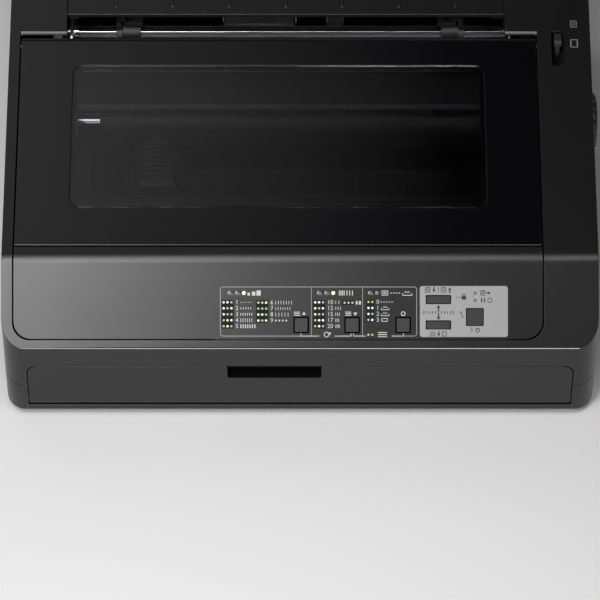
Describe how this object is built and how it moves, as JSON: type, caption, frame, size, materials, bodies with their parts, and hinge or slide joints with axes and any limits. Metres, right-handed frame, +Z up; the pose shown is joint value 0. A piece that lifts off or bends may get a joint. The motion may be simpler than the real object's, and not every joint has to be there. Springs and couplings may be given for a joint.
{
  "type": "dot matrix printer",
  "caption": "Impact printer with a sloped key panel, hinged covers over a sliding print head, a turning platen with its gear train, and pin tractors.",
  "frame": {"origin": "on the table, under the middle of the case", "axes": "+X to the right seen from the front, +Y to the rear, +Z up"},
  "size_m": [0.4145, 0.35, 0.1623],
  "materials": {
    "case": "fine satin texture, near black",
    "gloss_cover": "polished, near black",
    "smoked_window": "polished smoked acrylic",
    "overlay": "satin silver film",
    "dark_key": "satin",
    "grey_key": "satin",
    "lamp": "clear, unlit",
    "lit_lamp": "lit, pale green",
    "circuit_board": "solder mask",
    "tan_board": "paper laminate",
    "black_plastic": "satin",
    "inner_plastic": "matt",
    "steel_sheet": "zinc plated sheet",
    "bright_steel": "ground and polished",
    "platen_rubber": "ground rubber",
    "black_rubber": "moulded rubber",
    "ivory_plastic": "acetal",
    "brass": "machined",
    "motor_black": "black enamel",
    "head_metal": "dark anodised die casting",
    "ribbon": "inked nylon",
    "blue_plastic": "satin"
  },
  "bodies": {
    "chassis": {"base_tray": "case", "upper_case": "case", "control_panel": "case", "panel_overlay": "overlay", "indicator_lamps": "lamp", "lit_lamps": "lit_lamp", "panel_board": "circuit_board", "panel_switches": "black_plastic", "front_guide": "inner_plastic", "left_side_frame": "steel_sheet", "right_side_frame": "steel_sheet", "frame_stays": "steel_sheet", "platen_bushes": "ivory_plastic", "paper_pan": "steel_sheet", "feed_motor": "motor_black", "tractor_guide_shaft": "bright_steel", "tension_unit": "inner_plastic", "guide_shaft": "bright_steel", "timing_belt": "black_rubber", "carriage_motor": "motor_black", "ribbon_cartridge": "black_plastic", "ribbon_band": "ribbon", "logic_board": "circuit_board", "power_board": "tan_board", "interface_ports": "steel_sheet", "rubber_feet": "black_rubber"},
    "cover": {"printer_cover": "gloss_cover", "cover_window": "smoked_window"},
    "front_flap": {"front_cover": "case"},
    "paper_guide": {"paper_guide": "case"},
    "left_edge_guide": {"left_edge_guide": "inner_plastic"},
    "right_edge_guide": {"right_edge_guide": "inner_plastic"},
    "platen": {"platen_shaft": "bright_steel", "platen_rubber": "platen_rubber", "platen_gear": "ivory_plastic", "platen_knob": "black_plastic"},
    "reduction_gear": {"reduction_gear": "ivory_plastic"},
    "feed_pinion": {"feed_pinion": "brass"},
    "tractor_idler": {"tractor_idler_gear": "ivory_plastic"},
    "tractor_drive": {"tractor_drive_shaft": "bright_steel", "tractor_gear": "ivory_plastic"},
    "tension_rollers": {"tension_rollers": "black_rubber"},
    "left_tractor": {"left_tractor": "inner_plastic"},
    "right_tractor": {"right_tractor": "inner_plastic"},
    "left_tractor_cover": {"left_tractor_cover": "inner_plastic"},
    "right_tractor_cover": {"right_tractor_cover": "inner_plastic"},
    "carriage": {"carriage": "inner_plastic", "print_head": "head_metal"},
    "drive_pulley": {"drive_pulley": "bright_steel"},
    "idler_pulley": {"idler_pulley": "ivory_plastic"},
    "ribbon_knob": {"ribbon_knob": "grey_key"},
    "release_lever": {"release_lever": "grey_key"},
    "gap_lever": {"gap_lever": "blue_plastic"},
    "power_switch": {"power_switch": "black_plastic"},
    "item_button": {"item_button": "dark_key"},
    "change_button": {"change_button": "dark_key"},
    "set_button": {"set_button": "dark_key"},
    "sheet_button": {"sheet_button": "grey_key"},
    "line_button": {"line_button": "grey_key"},
    "pause_button": {"pause_button": "grey_key"}
  },
  "joints": [
    {"name": "cover_hinge", "type": "hinge", "parent": "chassis", "child": "cover", "pos_m": [-0.015, 0.048, 0.13637], "axis": [-1, 0, 0], "range_deg": [0, 105]},
    {"name": "front_flap_hinge", "type": "hinge", "parent": "chassis", "child": "front_flap", "pos_m": [0, -0.172, 0.0156], "axis": [1, 0, 0], "range_deg": [0, 90]},
    {"name": "paper_guide_hinge", "type": "hinge", "parent": "chassis", "child": "paper_guide", "pos_m": [-0.009, 0.0741, 0.14258], "axis": [1, 0, 0], "range_deg": [0, 50]},
    {"name": "left_edge_guide_slide", "type": "slide", "parent": "paper_guide", "child": "left_edge_guide", "axis": [1, 0, 0], "range_m": [-0.014, 0.05]},
    {"name": "right_edge_guide_slide", "type": "slide", "parent": "paper_guide", "child": "right_edge_guide", "axis": [1, 0, 0], "range_m": [-0.12, 0.014]},
    {"name": "item_button_press", "type": "slide", "parent": "chassis", "child": "item_button", "axis": [0, 0.6157, -0.788], "range_m": [0, 0.0008], "stiffness_N_per_m": 300},
    {"name": "change_button_press", "type": "slide", "parent": "chassis", "child": "change_button", "axis": [0, 0.6157, -0.788], "range_m": [0, 0.0008], "stiffness_N_per_m": 300},
    {"name": "set_button_press", "type": "slide", "parent": "chassis", "child": "set_button", "axis": [0, 0.6157, -0.788], "range_m": [0, 0.0008], "stiffness_N_per_m": 300},
    {"name": "sheet_button_press", "type": "slide", "parent": "chassis", "child": "sheet_button", "axis": [0, 0.6157, -0.788], "range_m": [0, 0.0008], "stiffness_N_per_m": 300},
    {"name": "line_button_press", "type": "slide", "parent": "chassis", "child": "line_button", "axis": [0, 0.6157, -0.788], "range_m": [0, 0.0008], "stiffness_N_per_m": 300},
    {"name": "pause_button_press", "type": "slide", "parent": "chassis", "child": "pause_button", "axis": [0, 0.6157, -0.788], "range_m": [0, 0.0008], "stiffness_N_per_m": 300},
    {"name": "platen_turn", "type": "hinge", "parent": "chassis", "child": "platen", "pos_m": [0, 0.01, 0.1], "axis": [1, 0, 0], "continuous": true},
    {"name": "reduction_turn", "type": "hinge", "parent": "chassis", "child": "reduction_gear", "pos_m": [-0.164, 0.026, 0.07229], "axis": [1, 0, 0], "continuous": true},
    {"name": "feed_pinion_turn", "type": "hinge", "parent": "chassis", "child": "feed_pinion", "pos_m": [-0.164, 0.04852, 0.05929], "axis": [1, 0, 0], "continuous": true},
    {"name": "tractor_idler_turn", "type": "hinge", "parent": "chassis", "child": "tractor_idler", "pos_m": [-0.164, 0.05399, 0.10089], "axis": [1, 0, 0], "continuous": true},
    {"name": "tractor_drive_turn", "type": "hinge", "parent": "chassis", "child": "tractor_drive", "pos_m": [0, 0.084, 0.112], "axis": [1, 0, 0], "continuous": true},
    {"name": "tension_rollers_turn", "type": "hinge", "parent": "chassis", "child": "tension_rollers", "pos_m": [0, 0.00475, 0.11961], "axis": [1, 0, 0], "continuous": true},
    {"name": "left_tractor_slide", "type": "slide", "parent": "chassis", "child": "left_tractor", "axis": [1, 0, 0], "range_m": [-0.02, 0.05]},
    {"name": "right_tractor_slide", "type": "slide", "parent": "chassis", "child": "right_tractor", "axis": [1, 0, 0], "range_m": [-0.12, 0.02]},
    {"name": "left_tractor_cover_hinge", "type": "hinge", "parent": "left_tractor", "child": "left_tractor_cover", "pos_m": [-0.129, 0.097, 0.1255], "axis": [0, -1, 0], "range_deg": [0, 100]},
    {"name": "right_tractor_cover_hinge", "type": "hinge", "parent": "right_tractor", "child": "right_tractor_cover", "pos_m": [0.115, 0.097, 0.1255], "axis": [0, 1, 0], "range_deg": [0, 100]},
    {"name": "carriage_slide", "type": "slide", "parent": "chassis", "child": "carriage", "axis": [1, 0, 0], "range_m": [-0.022, 0.205]},
    {"name": "drive_pulley_turn", "type": "hinge", "parent": "chassis", "child": "drive_pulley", "pos_m": [-0.143, -0.06, 0.066], "axis": [0, 0, 1], "continuous": true},
    {"name": "idler_pulley_turn", "type": "hinge", "parent": "chassis", "child": "idler_pulley", "pos_m": [0.134, -0.06, 0.066], "axis": [0, 0, 1], "continuous": true},
    {"name": "ribbon_knob_turn", "type": "hinge", "parent": "chassis", "child": "ribbon_knob", "pos_m": [-0.122, -0.0837, 0.1], "axis": [0, 0, 1], "continuous": true},
    {"name": "release_lever_hinge", "type": "hinge", "parent": "chassis", "child": "release_lever", "pos_m": [0.179, 0.046, 0.108], "axis": [1, 0, 0], "range_deg": [0, 15]},
    {"name": "gap_lever_hinge", "type": "hinge", "parent": "chassis", "child": "gap_lever", "pos_m": [0.15, -0.038, 0.08], "axis": [1, 0, 0], "range_deg": [-15, 15]},
    {"name": "power_switch_rock", "type": "hinge", "parent": "chassis", "child": "power_switch", "pos_m": [-0.2018, -0.127, 0.052], "axis": [0, 0, 1], "range_deg": [-12, 0]}
  ],
  "couplings": [
    {"joint": "reduction_turn", "follows": "platen_turn", "ratio": -3},
    {"joint": "feed_pinion_turn", "follows": "platen_turn", "ratio": 10},
    {"joint": "tractor_idler_turn", "follows": "platen_turn", "ratio": -1.2},
    {"joint": "tractor_drive_turn", "follows": "platen_turn", "ratio": 2},
    {"joint": "tension_rollers_turn", "follows": "platen_turn", "ratio": -3},
    {"joint": "drive_pulley_turn", "follows": "carriage_slide", "rad_per_m": -158.73},
    {"joint": "idler_pulley_turn", "follows": "carriage_slide", "rad_per_m": -158.73}
  ]
}
